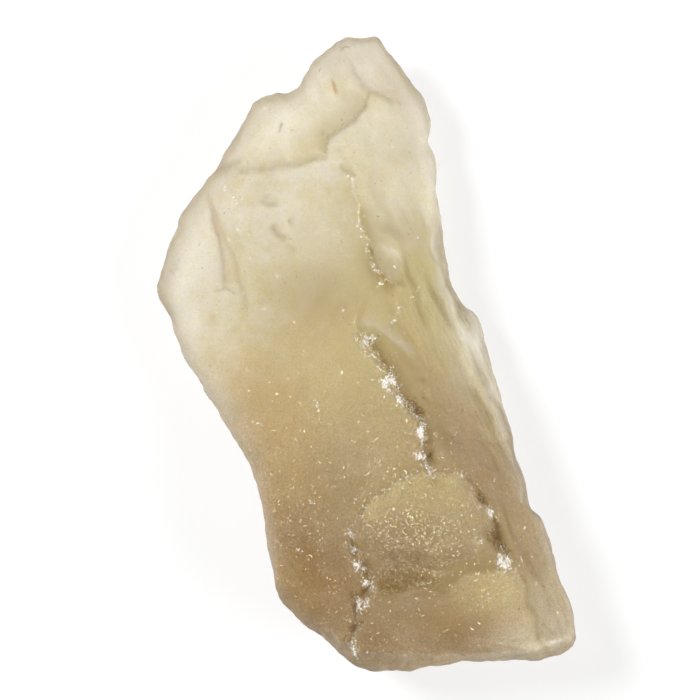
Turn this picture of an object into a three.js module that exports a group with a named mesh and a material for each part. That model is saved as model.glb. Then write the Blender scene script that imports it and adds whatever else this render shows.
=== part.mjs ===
// Raw Libyan desert glass: one lump of natural glass, frosted by the wind, lying on its flattest side.
// Millimetres. +Z is up, out of the scooped side. +Y runs to the narrow end.
// The origin is on the resting face, under the middle of the lump.
import * as THREE from 'three';

// Size of the mesh: rings of points from the middle of the lump to its rim.
const RINGS = 28;
const POINTS_PER_RING_STEP = 6;
const RIM_CROWDING = 0.45;
const CURVE_PIECES_PER_POINT = 5;
const CURVE_TENSION = 0.5;
const RIM_LENGTH_PIECES = 2000;

// The rim, seen from above, from the narrow end round to the right. It is 68.5 wide and 103.6 long.
const MIDDLE = [-1.0, 0.6];
const RIM = [
  [-1.0, 51.9], [1.7, 51.6], [3.2, 49.5], [5.1, 47.4], [6.5, 45.1], [8.3, 42.4], [9.4, 40.1],
  [10.1, 37.5], [10.1, 34.7], [11.6, 31.7], [11.8, 28.9], [11.5, 26.0], [11.8, 22.2], [12.6, 18.6],
  [13.4, 15.0], [14.6, 10.4], [15.9, 7.8], [17.5, 6.3], [18.7, 4.3], [19.8, 0.2], [22.1, -8.4],
  [23.4, -12.5], [24.6, -17.8], [25.9, -21.6], [26.7, -25.7], [28.4, -27.8], [29.5, -30.1],
  [31.0, -35.2], [32.6, -40.1], [34.1, -45.3], [33.9, -47.1], [32.3, -48.9], [28.0, -49.9],
  [22.0, -50.5], [14.6, -51.1], [7.2, -51.7], [2.6, -51.7], [-1.0, -50.9], [-5.1, -48.3],
  [-9.7, -44.8], [-12.8, -41.7], [-14.8, -39.4], [-15.7, -34.7], [-16.7, -28.1], [-18.4, -20.7],
  [-20.7, -15.8], [-23.6, -11.2], [-26.2, -7.1], [-29.2, -2.4], [-31.6, 2.9], [-33.6, 8.4],
  [-34.3, 10.7], [-33.8, 13.0], [-32.1, 18.6], [-30.8, 22.4], [-29.2, 25.0], [-26.7, 28.0],
  [-24.1, 31.4], [-21.6, 35.8], [-19.5, 39.3], [-17.5, 41.9], [-15.4, 42.3], [-12.8, 42.7],
  [-10.8, 44.2], [-9.0, 47.3], [-7.0, 49.6], [-5.2, 50.9], [-3.4, 51.7],
];

// A scar is the shallow face that one flake left behind: a height at a point, a slope along X and Y,
// and a bowl, the curvature along its own two directions, turned by some degrees. The upper side of the
// lump is the lowest of its scars at each point, the underside is the highest of its own.
const UPPER_SCARS = [
  { name: 'main scoop', at: [-14, 5, 12.4], slope: [0.22, -0.1], bowl: [0.024, 0.002], turn: 0 },
  { name: 'left rim', at: [-23, 15, 10.4], slope: [0.34, -0.05], bowl: [0.004, 0.0], turn: 0 },
  { name: 'upper left', at: [-15.4, 33.4, 10.8], slope: [0.12, -0.16], bowl: [0.0, 0.0], turn: 0 },
  { name: 'tip left', at: [-1, 43, 12.6], slope: [0.2, -0.16], bowl: [0.01, 0.004], turn: 0 },
  { name: 'tip right', at: [0, 44, 12.4], slope: [-0.3, -0.18], bowl: [0.016, 0.004], turn: -35 },
  { name: 'chip face', at: [3, 33, 13.4], slope: [-0.14, -0.12], bowl: [0.012, 0.002], turn: 20 },
  { name: 'right flank', at: [2, 4, 18.4], slope: [-0.5, -0.2], bowl: [0.002, 0.0], turn: -20 },
  { name: 'lower face', at: [10, -42, 21.4], slope: [-0.08, 0.16], bowl: [0.0, 0.0], turn: 0 },
  { name: 'foot', at: [12, -48.6, 18.4], slope: [-0.05, 1.6], bowl: [0, 0], turn: 0 },
  { name: 'lower corner', at: [26, -42, 15.4], slope: [-0.6, -0.1], bowl: [0.03, 0.01], turn: -15 },
  { name: 'lower left', at: [-9, -38, 16.8], slope: [0.34, 0.1], bowl: [0.0, 0.004], turn: 30 },
];
const UNDER_SCARS = [
  { name: 'resting face', at: [0, 0, 0], slope: [0, 0], bowl: [0, 0], turn: 0 },
  { name: 'left', at: [-15, 8, 0], slope: [-0.3, 0.04], bowl: [-0.002, 0], turn: 0 },
  { name: 'narrow end', at: [-2, 13, 0], slope: [0.02, 0.2], bowl: [-0.006, 0], turn: 0 },
  { name: 'right', at: [10, 4, 0], slope: [0.36, 0.13], bowl: [-0.01, 0], turn: -20 },
  { name: 'foot', at: [8, -39, 0], slope: [0.06, -0.5], bowl: [-0.004, -0.02], turn: 0 },
  { name: 'lower left', at: [-8, -22, 0], slope: [-0.4, -0.14], bowl: [-0.02, 0], turn: 0 },
];
const EDGE_WEAR = 1.3;
const UNDER_SETTLE = 0.9;

// Steps in the upper side. Each follows a curve through its points and drops the surface on the right of
// the curve, seen along it, by `drop`. The wall is `wall` wide. It ends at the curve with a sharp foot, or
// starts there with a sharp brow. The surface recovers over `reach`, and the drop fades in over `fade`
// from either end of the curve.
const SHEET_LINE = [
  [-26.5, 29.4], [-21.5, 29.9], [-17.4, 29.8], [-12.0, 30.6], [-6.9, 31.6], [-6.2, 33.6], [-5.6, 35.8],
  [-2.4, 37.7], [-0.6, 39.9], [0.6, 42.6],
];
const UPPER_CREST = [
  [7.4, 10.0], [4.4, 11.0], [2.3, 12.6], [0.9, 14.6], [0.2, 16.6], [0.1, 18.6], [-0.8, 21.5], [-1.5, 24.8],
  [-2.6, 28.4], [-5.4, 31.6],
];
const LOWER_CREST = [
  [11.0, -20.0], [9.4, -17.4], [8.8, -14.0], [8.0, -10.0], [5.4, -6.8], [3.2, -2.6], [0.8, 1.2],
  [-1.0, 3.6], [-1.8, 5.8], [-1.4, 8.4], [0.0, 11.4],
];
const OUTER_EDGE_LINE = [
  [25.2, -19.0], [23.8, -15.0], [22.6, -11.7], [21.4, -8.4], [18.4, -3.5], [15.7, 1.4], [14.1, 5.8],
  [12.2, 12.0], [10.4, 20.0], [9.6, 26.0],
];
const LOWER_FACE_LINE = [
  [0.2, -39.4], [2.3, -38.8], [5.6, -38.0], [9.8, -38.2], [12.6, -38.8], [13.8, -37.2], [16.6, -35.5],
  [20.8, -34.8], [23.6, -35.6],
];
const CORNER_LINE = [
  [27.9, -47.4], [27.8, -45.0], [27.2, -43.0], [25.6, -40.0], [25.4, -37.4], [23.4, -35.4],
];
const STEPS = [
  { name: 'edge of the upper sheet', drop: 1.3, reach: 10, wall: 2.0, sharp: 'foot', fade: 19,
    line: SHEET_LINE },
  { name: 'upper crest', drop: 0.8, reach: 6, wall: 1.8, sharp: 'brow', fade: 9,
    line: UPPER_CREST },
  { name: 'lower crest', drop: 2.1, reach: 8, wall: 2.0, sharp: 'brow', fade: 7,
    line: LOWER_CREST },
  { name: 'outer edge of the flank', drop: 2.2, reach: 12, wall: 2.8, sharp: 'brow', fade: 9,
    line: OUTER_EDGE_LINE },
  { name: 'lower face edge', drop: 0.8, reach: 3.6, wall: 2.4, sharp: 'brow', fade: 5,
    line: LOWER_FACE_LINE },
  { name: 'corner edge', drop: 1.2, reach: 5, wall: 1.6, sharp: 'brow', fade: 5,
    line: CORNER_LINE },
];

// Grooves cut down along a curve. The depth swells and sinks along it.
const GROOVES = [
  { name: 'left deposit line', depth: 1.2, width: 1.7,
    line: [[-2.6, -28.0], [-2.0, -31.6], [-0.8, -35.0], [-0.3, -38.2], [-1.4, -41.4], [-2.2, -45.0],
      [-1.8, -48.8]] },
  { name: 'right deposit line', depth: 1.4, width: 1.7,
    line: [[14.2, -19.4], [16.8, -21.6], [18.9, -24.8], [20.6, -28.6], [22.0, -32.0], [24.0, -35.8]] },
  { name: 'arch', depth: 0.5, width: 1.3,
    line: [[-1.0, -27.4], [0.2, -23.6], [2.6, -21.6], [5.1, -20.2], [10.0, -18.9], [14.9, -19.4],
      [16.8, -21.6]] },
  { name: 'crest chain', depth: 0.6, width: 1.5,
    line: [[0.3, 2.4], [3.4, -2.3], [5.6, -6.6], [8.0, -9.8], [8.9, -14.0], [9.4, -17.4], [11.0, -19.6]] },
  { name: 'tip crease', depth: 0.6, width: 1.3,
    line: [[-3.4, 48.6], [-0.9, 45.0], [1.6, 43.2], [5.5, 41.2]] },
  { name: 'rim fold', depth: 0.4, width: 1.4,
    line: [[-25.6, 25.2], [-24.2, 21.0], [-23.0, 17.0], [-22.9, 10.2]] },
  { name: 'flank groove', depth: 0.8, width: 1.5,
    line: [[7.7, -4.0], [10.4, -8.6], [13.3, -13.2], [16.2, -19.4]] },
  { name: 'outer flank groove', depth: 0.5, width: 1.5,
    line: [[10.6, 18.5], [12.0, 13.0], [13.4, 6.8], [15.4, -0.4], [18.0, -8.0], [20.4, -16.0]] },
];

// How far from its ends a groove reaches its full depth, and how the depth varies.
const GROOVE_FADE = 2.2;
const GROOVE_SWELL = { share: 0.2, length: 2.1, slant: 1.7 };

// Round forms: a positive height is a lump and a negative one a pit. `size` holds two half widths, and a low
// `edge` makes the border crisp.
const FORMS = [
  { name: 'lower lump', at: [8.6, -26.4], size: [11.2, 8.2], turn: -8, height: 2.6, edge: 1 },
  { name: 'recess below the lump', at: [7.0, -34.9], size: [8.4, 3.6], turn: 5, height: -2.3, edge: 1.4 },
  { name: 'oval scoop', at: [3.9, 16.0], size: [3.7, 2.3], turn: -46, height: -0.9, edge: 1.1 },
  { name: 'second scoop', at: [2.4, 8.4], size: [4.2, 3.2], turn: -60, height: -0.5, edge: 1.3 },
  { name: 'third scoop', at: [5.8, 1.2], size: [5.6, 2.4], turn: -54, height: -0.8, edge: 1.3 },
  { name: 'crest hole', at: [8.0, -9.2], size: [2.2, 1.6], turn: 20, height: -1.6, edge: 2 },
  { name: 'cleft under the crest', at: [10.2, -16.8], size: [1.8, 2.0], turn: 0, height: -1.4, edge: 2 },
  { name: 'right lower cleft', at: [21.2, -30.0], size: [1.8, 3.0], turn: 35, height: -1.4, edge: 2 },
  { name: 'corner scoop', at: [29.8, -43.0], size: [2.4, 4.4], turn: 14, height: -1.2, edge: 2 },
  { name: 'middle hollow', at: [-7.5, 9.0], size: [8.5, 7.0], turn: -20, height: -0.8, edge: 2 },
  { name: 'lower hollow', at: [3.0, -13.5], size: [9.0, 6.0], turn: -50, height: -0.8, edge: 2 },
  { name: 'upper hollow', at: [-13, 22], size: [10.0, 8.5], turn: -30, height: -1.4, edge: 2 },
  { name: 'edge hump', at: [18.0, 2.2], size: [2.4, 5.4], turn: 14, height: 0.8, edge: 2 },
  { name: 'tip chip', at: [-0.2, 43.4], size: [1.7, 1.4], turn: 40, height: -0.8, edge: 2 },
];
const UNDER_FORMS = [
  { name: 'upper scoop', at: [-6, 30], size: [11, 12], turn: 20, height: 1.4, edge: 2 },
  { name: 'left scoop', at: [-20, 3], size: [10, 14], turn: -15, height: 1.6, edge: 2 },
  { name: 'lower scoop', at: [8, -36], size: [15, 11], turn: 5, height: 1.8, edge: 2 },
  { name: 'right scoop', at: [15, -12], size: [8, 13], turn: 15, height: 1.6, edge: 2 },
  { name: 'middle scoop', at: [-5, -12], size: [8, 6], turn: 30, height: 0.8, edge: 2 },
];

// Flow lines on the right flank, low ridges in two spacings that run along the rim and sway along Y. They
// start `from` to `full` right of the middle and fade out before `end`.
const FLOW = {
  heading: -66, height: 0.13, from: 5, full: 10, end: 34, fade: 10,
  ridges: [
    { share: 1, spacing: 4.6, sway: 0.6, swayLength: 7 },
    { share: 0.6, spacing: 2.7, sway: 1.1, swayLength: 11 },
  ],
};

// Slow waves over the whole of a side, so that no face is too even. Their fronts bend a little.
const WAVES = [
  { length: 31, heading: 25, height: 0.3, start: 0.4 },
  { length: 19, heading: -50, height: 0.2, start: 1.9 },
  { length: 12, heading: 80, height: 0.1, start: 4.1 },
];
const WAVE_BEND = 0.9;
const UNDER_WAVES = { share: 0.8, shift: 40 };

// How the two sides close at the rim.
const RIM_LEVEL = { share: 0.5, wander: 0.17, alongX: 4.6, alongY: 7.3, start: 1 };
const RIM_ROUNDING = { share: 0.42, least: 1.6, most: 4.2 };
const THINNEST = 3.2;

const radians = THREE.MathUtils.degToRad;
const smooth = THREE.MathUtils.smoothstep;

function turned(dx, dy, degrees) {
  const c = Math.cos(radians(degrees));
  const s = Math.sin(radians(degrees));
  return [c * dx + s * dy, c * dy - s * dx];
}

function scarHeight(scar, x, y) {
  const dx = x - scar.at[0];
  const dy = y - scar.at[1];
  const [u, v] = turned(dx, dy, scar.turn);
  const plane = scar.at[2] + scar.slope[0] * dx + scar.slope[1] * dy;
  return plane + 0.5 * (scar.bowl[0] * u * u + scar.bowl[1] * v * v);
}

// The lowest of the heights, with the edges between them worn round.
function wornLowest(heights) {
  const lowest = Math.min(...heights);
  const sum = heights.reduce((total, h) => total + Math.exp((lowest - h) / EDGE_WEAR), 0);
  return lowest - EDGE_WEAR * Math.log(sum);
}

// The points of the curve through a feature's line, for measuring distances to it.
function curveThrough(line, closed) {
  const points = line.map(([x, y]) => new THREE.Vector3(x, y, 0));
  return new THREE.CatmullRomCurve3(points, closed, 'catmullrom', CURVE_TENSION);
}
function curvePoints(line) {
  return curveThrough(line, false).getSpacedPoints(CURVE_PIECES_PER_POINT * line.length);
}
for (const feature of [...STEPS, ...GROOVES]) feature.curve = curvePoints(feature.line);

// Distance from a point to a curve, positive on its right.
function distanceAcross(curve, x, y) {
  let best = { distance: Infinity, side: 1 };
  for (let i = 0; i + 1 < curve.length; i += 1) {
    const a = curve[i];
    const b = curve[i + 1];
    const length = a.distanceTo(b);
    const ex = (b.x - a.x) / length;
    const ey = (b.y - a.y) / length;
    const along = THREE.MathUtils.clamp((x - a.x) * ex + (y - a.y) * ey, 0, length);
    const ox = x - a.x - along * ex;
    const oy = y - a.y - along * ey;
    const distance = Math.hypot(ox, oy);
    if (distance < best.distance) best = { distance, side: ex * oy - ey * ox > 0 ? -1 : 1 };
  }
  return best.side * best.distance;
}

// How far past the plane through `end` a point lies, towards the feature, as a share of `length`.
function fadeFrom(end, inner, length, x, y) {
  const size = end.distanceTo(inner);
  const past = ((x - end.x) * (inner.x - end.x) + (y - end.y) * (inner.y - end.y)) / size;
  return smooth(past, 0, length);
}

function fadeAtEnds(curve, length, x, y) {
  const last = curve.length - 1;
  return fadeFrom(curve[0], curve[1], length, x, y) * fadeFrom(curve[last], curve[last - 1], length, x, y);
}

function stepDrop(step, x, y) {
  const across = distanceAcross(step.curve, x, y);
  const foot = THREE.MathUtils.clamp(across / step.wall + 1, 0, 1);
  const brow = THREE.MathUtils.clamp(across / step.wall, 0, 1);
  const wall = step.sharp === 'foot' ? 1 - Math.cos((foot * Math.PI) / 2) : Math.sin((brow * Math.PI) / 2);
  return step.drop * fadeAtEnds(step.curve, step.fade, x, y) * wall * (1 - smooth(across, 0, step.reach));
}

function grooveDepth(groove, x, y) {
  const across = distanceAcross(groove.curve, x, y);
  const swell = 1 + GROOVE_SWELL.share * Math.sin((x + GROOVE_SWELL.slant * y) / GROOVE_SWELL.length);
  const depth = groove.depth * swell * fadeAtEnds(groove.curve, GROOVE_FADE, x, y);
  return depth * Math.exp(-((across / groove.width) ** 2));
}

function formHeight(form, x, y) {
  const [u, v] = turned(x - form.at[0], y - form.at[1], form.turn);
  const reach = (u / form.size[0]) ** 2 + (v / form.size[1]) ** 2;
  return reach < 1 ? form.height * (1 - reach) ** form.edge : 0;
}

function waveHeight(x, y) {
  return WAVES.reduce((sum, wave) => {
    const [u, v] = turned(x, y, wave.heading);
    const bend = WAVE_BEND * Math.sin(v / wave.length);
    return sum + wave.height * Math.sin((2 * Math.PI * u) / wave.length + wave.start + bend);
  }, 0);
}

function flowHeight(x, y) {
  const [, across] = turned(x, y, FLOW.heading);
  const share = smooth(across, FLOW.from, FLOW.full) * (1 - smooth(y, FLOW.end - FLOW.fade, FLOW.end));
  return FLOW.ridges.reduce((sum, ridge) => {
    const sway = ridge.sway * Math.sin(y / ridge.swayLength);
    return sum + FLOW.height * share * ridge.share * Math.sin((2 * Math.PI * across) / ridge.spacing + sway);
  }, 0);
}

function upperHeight(x, y) {
  let z = wornLowest(UPPER_SCARS.map((scar) => scarHeight(scar, x, y)));
  z += waveHeight(x, y) + flowHeight(x, y);
  for (const form of FORMS) z += formHeight(form, x, y);
  for (const step of STEPS) z -= stepDrop(step, x, y);
  for (const groove of GROOVES) z -= grooveDepth(groove, x, y);
  return z;
}

// The underside stays flat at zero wherever no scar or scoop lifts it.
function underHeight(x, y) {
  const rise = -wornLowest(UNDER_SCARS.map((scar) => -scarHeight(scar, x, y)));
  let z = Math.max(rise - UNDER_SETTLE, 0);
  for (const form of UNDER_FORMS) z += formHeight(form, x, y);
  const waves = UNDER_WAVES.share * Math.min(z, 1) * waveHeight(x + UNDER_WAVES.shift, y);
  return Math.max(z + waves, 0);
}

// Both sides at one point, drawn together over the last millimetres before the rim.
function heights(x, y, rimDistance) {
  const under = underHeight(x, y);
  const upper = Math.max(upperHeight(x, y), under + THINNEST);
  const wander = Math.sin(x / RIM_LEVEL.alongX + RIM_LEVEL.start) * Math.cos(y / RIM_LEVEL.alongY);
  const level = THREE.MathUtils.lerp(under, upper, RIM_LEVEL.share + RIM_LEVEL.wander * wander);
  const width = THREE.MathUtils.clamp(
    (upper - under) * RIM_ROUNDING.share, RIM_ROUNDING.least, RIM_ROUNDING.most);
  const t = Math.min(rimDistance / width, 1);
  const open = Math.sqrt(1 - (1 - t) ** 2);
  return { upper: level + (upper - level) * open, under: level + (under - level) * open };
}

function ringRadius(ring) {
  const t = ring / RINGS;
  return THREE.MathUtils.lerp(t, Math.sin((t * Math.PI) / 2), RIM_CROWDING);
}

function lumpGeometry() {
  const rim = curveThrough(RIM, true);
  rim.arcLengthDivisions = RIM_LENGTH_PIECES;
  const centre = new THREE.Vector3(MIDDLE[0], MIDDLE[1], 0);
  const upper = [];
  const under = [];
  const firstOfRing = [0];
  for (let ring = 0; ring <= RINGS; ring += 1) {
    const count = Math.max(ring * POINTS_PER_RING_STEP, 1);
    const radius = ringRadius(ring);
    for (let i = 0; i < count; i += 1) {
      const edge = rim.getPointAt(i / count);
      const p = centre.clone().lerp(edge, radius);
      const z = heights(p.x, p.y, p.distanceTo(edge));
      upper.push(p.x, p.y, z.upper);
      if (ring < RINGS) under.push(p.x, p.y, z.under);
    }
    firstOfRing.push(firstOfRing[ring] + count);
  }

  // The last ring is the rim, which both sides share. The underside's other points come after it.
  const shift = firstOfRing[RINGS + 1];
  const index = [];
  const triangle = (ringOf, a, b, c) => {
    index.push(a, b, c);
    const below = [a, c, b].map((p) => (ringOf(p) === RINGS ? p : p + shift));
    index.push(...below);
  };
  for (let ring = 1; ring <= RINGS; ring += 1) {
    const outer = firstOfRing[ring];
    const inner = firstOfRing[ring - 1];
    const outerCount = ring * POINTS_PER_RING_STEP;
    const innerCount = Math.max((ring - 1) * POINTS_PER_RING_STEP, 1);
    const ringOf = (p) => (p >= outer ? ring : ring - 1);
    for (let sector = 0; sector < POINTS_PER_RING_STEP; sector += 1) {
      for (let i = 0; i < ring; i += 1) {
        const o = sector * ring + i;
        const n = sector * (ring - 1) + i;
        const outerPoint = outer + o;
        const nextOuter = outer + ((o + 1) % outerCount);
        const innerPoint = inner + (n % innerCount);
        triangle(ringOf, innerPoint, nextOuter, outerPoint);
        if (i < ring - 1) triangle(ringOf, innerPoint, inner + ((n + 1) % innerCount), nextOuter);
      }
    }
  }
  const geometry = new THREE.BufferGeometry();
  geometry.setAttribute('position', new THREE.Float32BufferAttribute([...upper, ...under], 3));
  geometry.setIndex(index);
  geometry.computeBoundingBox();
  const box = geometry.boundingBox;
  geometry.translate(-(box.min.x + box.max.x) / 2, -(box.min.y + box.max.y) / 2, -box.min.z);
  geometry.computeVertexNormals();
  return geometry;
}

const PALE_YELLOW_GREEN = 0xc6bd8e;
const FROSTED = 0.55;
const glass = new THREE.MeshStandardMaterial({ color: PALE_YELLOW_GREEN, roughness: FROSTED, metalness: 0 });
const lump = new THREE.Mesh(lumpGeometry(), glass);
lump.name = 'desert_glass';

const group = new THREE.Group();
group.add(lump);
export default group;
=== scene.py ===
"""Raw Libyan desert glass: a frosted, see-through lump with dust in its clefts, on a pale floor."""
import math

import bpy
import numpy as np
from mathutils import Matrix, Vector, kdtree, noise


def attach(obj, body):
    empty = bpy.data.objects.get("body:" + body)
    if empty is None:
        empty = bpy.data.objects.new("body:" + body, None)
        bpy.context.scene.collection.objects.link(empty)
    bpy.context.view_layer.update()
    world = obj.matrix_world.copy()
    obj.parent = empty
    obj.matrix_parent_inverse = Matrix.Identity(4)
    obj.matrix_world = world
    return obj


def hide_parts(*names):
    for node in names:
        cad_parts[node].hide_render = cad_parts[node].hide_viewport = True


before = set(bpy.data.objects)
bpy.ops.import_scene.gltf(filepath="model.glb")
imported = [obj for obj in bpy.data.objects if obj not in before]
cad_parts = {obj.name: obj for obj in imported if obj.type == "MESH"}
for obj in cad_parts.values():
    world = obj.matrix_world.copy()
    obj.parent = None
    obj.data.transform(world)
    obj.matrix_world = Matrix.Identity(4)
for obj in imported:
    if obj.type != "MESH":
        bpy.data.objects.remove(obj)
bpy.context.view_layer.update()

NODE = "desert_glass"
MM = 0.001

# The forms of the lump, in millimetres, as in the part's source: its rim seen from above, its scars, and
# the steps, grooves, lumps and hollows in them.
MIDDLE = (-1, 0.6)
RIM = [
    (-1, 51.9), (1.7, 51.6), (3.2, 49.5), (5.1, 47.4), (6.5, 45.1), (8.3, 42.4), (9.4, 40.1), (10.1, 37.5),
    (10.1, 34.7), (11.6, 31.7), (11.8, 28.9), (11.5, 26), (11.8, 22.2), (12.6, 18.6), (13.4, 15),
    (14.6, 10.4), (15.9, 7.8), (17.5, 6.3), (18.7, 4.3), (19.8, 0.2), (22.1, -8.4), (23.4, -12.5),
    (24.6, -17.8), (25.9, -21.6), (26.7, -25.7), (28.4, -27.8), (29.5, -30.1), (31, -35.2), (32.6, -40.1),
    (34.1, -45.3), (33.9, -47.1), (32.3, -48.9), (28, -49.9), (22, -50.5), (14.6, -51.1), (7.2, -51.7),
    (2.6, -51.7), (-1, -50.9), (-5.1, -48.3), (-9.7, -44.8), (-12.8, -41.7), (-14.8, -39.4), (-15.7, -34.7),
    (-16.7, -28.1), (-18.4, -20.7), (-20.7, -15.8), (-23.6, -11.2), (-26.2, -7.1), (-29.2, -2.4),
    (-31.6, 2.9), (-33.6, 8.4), (-34.3, 10.7), (-33.8, 13), (-32.1, 18.6), (-30.8, 22.4), (-29.2, 25),
    (-26.7, 28), (-24.1, 31.4), (-21.6, 35.8), (-19.5, 39.3), (-17.5, 41.9), (-15.4, 42.3), (-12.8, 42.7),
    (-10.8, 44.2), (-9, 47.3), (-7, 49.6), (-5.2, 50.9), (-3.4, 51.7),
]


def scar(at, slope, bowl, turn=0):
    """A shallow face: its height at a point, its slopes, and its curvatures along its own directions."""
    return {"at": at, "slope": slope, "bowl": bowl, "turn": turn}


UPPER_SCARS = {
    "main scoop": scar((-14, 5, 12.4), (0.22, -0.1), (0.024, 0.002)),
    "left rim": scar((-23, 15, 10.4), (0.34, -0.05), (0.004, 0)),
    "upper left": scar((-15.4, 33.4, 10.8), (0.12, -0.16), (0, 0)),
    "tip left": scar((-1, 43, 12.6), (0.2, -0.16), (0.01, 0.004)),
    "tip right": scar((0, 44, 12.4), (-0.3, -0.18), (0.016, 0.004), -35),
    "chip face": scar((3, 33, 13.4), (-0.14, -0.12), (0.012, 0.002), 20),
    "right flank": scar((2, 4, 18.4), (-0.5, -0.2), (0.002, 0), -20),
    "lower face": scar((10, -42, 21.4), (-0.08, 0.16), (0, 0)),
    "foot": scar((12, -48.6, 18.4), (-0.05, 1.6), (0, 0)),
    "lower corner": scar((26, -42, 15.4), (-0.6, -0.1), (0.03, 0.01), -15),
    "lower left": scar((-9, -38, 16.8), (0.34, 0.1), (0, 0.004), 30),
}
UNDER_SCARS = {
    "resting face": scar((0, 0, 0), (0, 0), (0, 0)),
    "left": scar((-15, 8, 0), (-0.3, 0.04), (-0.002, 0)),
    "narrow end": scar((-2, 13, 0), (0.02, 0.2), (-0.006, 0)),
    "right": scar((10, 4, 0), (0.36, 0.13), (-0.01, 0), -20),
    "foot": scar((8, -39, 0), (0.06, -0.5), (-0.004, -0.02)),
    "lower left": scar((-8, -22, 0), (-0.4, -0.14), (-0.02, 0)),
}
EDGE_WEAR = 1.3
UNDER_SETTLE = 0.9
STEP_FADE = 5.0


def step(drop, reach, wall, sharp, line, fade=STEP_FADE):
    """A drop on the right of a curve. The wall ends there with a sharp foot or starts with a sharp brow."""
    return {"drop": drop, "reach": reach, "wall": wall, "sharp": sharp, "line": line, "fade": fade}


UPPER_CREST = [
    (7.4, 10), (4.4, 11), (2.3, 12.6), (0.9, 14.6), (0.2, 16.6), (0.1, 18.6), (-0.8, 21.5), (-1.5, 24.8),
    (-2.6, 28.4), (-5.4, 31.6),
]
LOWER_CREST = [
    (11, -20), (9.4, -17.4), (8.8, -14), (8, -10), (5.4, -6.8), (3.2, -2.6), (0.8, 1.2), (-1, 3.6),
    (-1.8, 5.8), (-1.4, 8.4), (0, 11.4),
]
SHEET_LINE = [
    (-26.5, 29.4), (-21.5, 29.9), (-17.4, 29.8), (-12, 30.6), (-6.9, 31.6), (-6.2, 33.6), (-5.6, 35.8),
    (-2.4, 37.7), (-0.6, 39.9), (0.6, 42.6),
]
OUTER_EDGE = [
    (25.2, -19), (23.8, -15), (22.6, -11.7), (21.4, -8.4), (18.4, -3.5), (15.7, 1.4), (14.1, 5.8),
    (12.2, 12), (10.4, 20), (9.6, 26),
]
LOWER_FACE_LINE = [
    (0.2, -39.4), (2.3, -38.8), (5.6, -38), (9.8, -38.2), (12.6, -38.8), (13.8, -37.2), (16.6, -35.5),
    (20.8, -34.8), (23.6, -35.6),
]
CORNER_LINE = [(27.9, -47.4), (27.8, -45), (27.2, -43), (25.6, -40), (25.4, -37.4), (23.4, -35.4)]
STEPS = {
    "edge of the upper sheet": step(1.3, 10, 2, "foot", SHEET_LINE, 19),
    "upper crest": step(0.8, 6, 1.8, "brow", UPPER_CREST, 9),
    "lower crest": step(2.1, 8, 2, "brow", LOWER_CREST, 7),
    "outer edge of the flank": step(2.2, 12, 2.8, "brow", OUTER_EDGE, 9),
    "lower face edge": step(0.8, 3.6, 2.4, "brow", LOWER_FACE_LINE),
    "corner edge": step(1.2, 5, 1.2, "brow", CORNER_LINE),
}


def groove(depth, width, line):
    return {"depth": depth, "width": width, "line": line}


LEFT_DEPOSIT = [
    (-2.6, -28.6), (-2.1, -30.6), (-1.6, -33.8), (0, -35.6), (0.6, -37.4), (-0.4, -39), (-1.8, -40.6),
    (-1.6, -43), (-2.6, -46.2), (-1.6, -48.6),
]
RIGHT_DEPOSIT = [
    (14.6, -19.6), (16.6, -21.4), (18.2, -23.2), (19.2, -25.4), (20.3, -27.6), (20.9, -29.8), (22.3, -32),
    (22.6, -34), (24.2, -35.6),
]
ARCH_LINE = [
    (-1, -27.4), (0.2, -23.6), (2.6, -21.6), (5.1, -20.2), (10, -18.9), (14.9, -19.4), (16.8, -21.6),
]
CREST_CHAIN = [
    (-0.6, 3.2), (0.4, 0.4), (3.2, -2.5), (4.3, -4.9), (5.6, -7.2), (7.7, -9.4), (8.8, -11.2), (9.2, -13.2),
    (8.6, -15.6), (9.4, -17.6), (10.6, -19),
]
LIP_LINE = [(-6, -45), (-2, -47.4), (8, -48.3), (13.6, -48.6), (24, -48), (31, -46.8), (33.4, -45.6)]
TIP_CREASE = [(-3.4, 48.6), (-0.9, 45), (1.6, 43.2), (5.5, 41.2)]
FOLD_LINE = [(-25.9, 25.6), (-25, 21.6), (-23.8, 17), (-23.2, 10.2)]
GROOVES = {
    "left deposit line": groove(1.1, 0.8, LEFT_DEPOSIT),
    "right deposit line": groove(1.2, 0.9, RIGHT_DEPOSIT),
    "arch": groove(0.35, 0.5, ARCH_LINE),
    "foot of the upper sheet": groove(0.18, 0.35, SHEET_LINE[4:]),
    "lip of the lower face": groove(-0.5, 0.7, LIP_LINE),
    "crest chain": groove(0.6, 0.7, CREST_CHAIN),
    "tip crease": groove(0.7, 0.8, TIP_CREASE),
    "corner valley": groove(0.5, 0.5, CORNER_LINE),
    "rim fold": groove(0.4, 0.8, FOLD_LINE),
    "flank groove": groove(0.8, 1.2, [(7.7, -4), (10.4, -8.6), (13.3, -13.2), (16.2, -19.4)]),
    "outer flank groove": groove(
        0.5, 1.1, [(10.6, 18.5), (12, 13), (13.4, 6.8), (15.4, -0.4), (18, -8), (20.4, -16)]),
}
GROOVE_FADE = 1.6
GROOVE_SWELL = {"share": 0.3, "length": 0.9, "slant": 1.7}


def form(at, size, turn, height, edge=2):
    """A lump, or a pit where the height is negative, with its half widths. A low `edge` is a crisp one."""
    return {"at": at, "size": size, "turn": turn, "height": height, "edge": edge}


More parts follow.
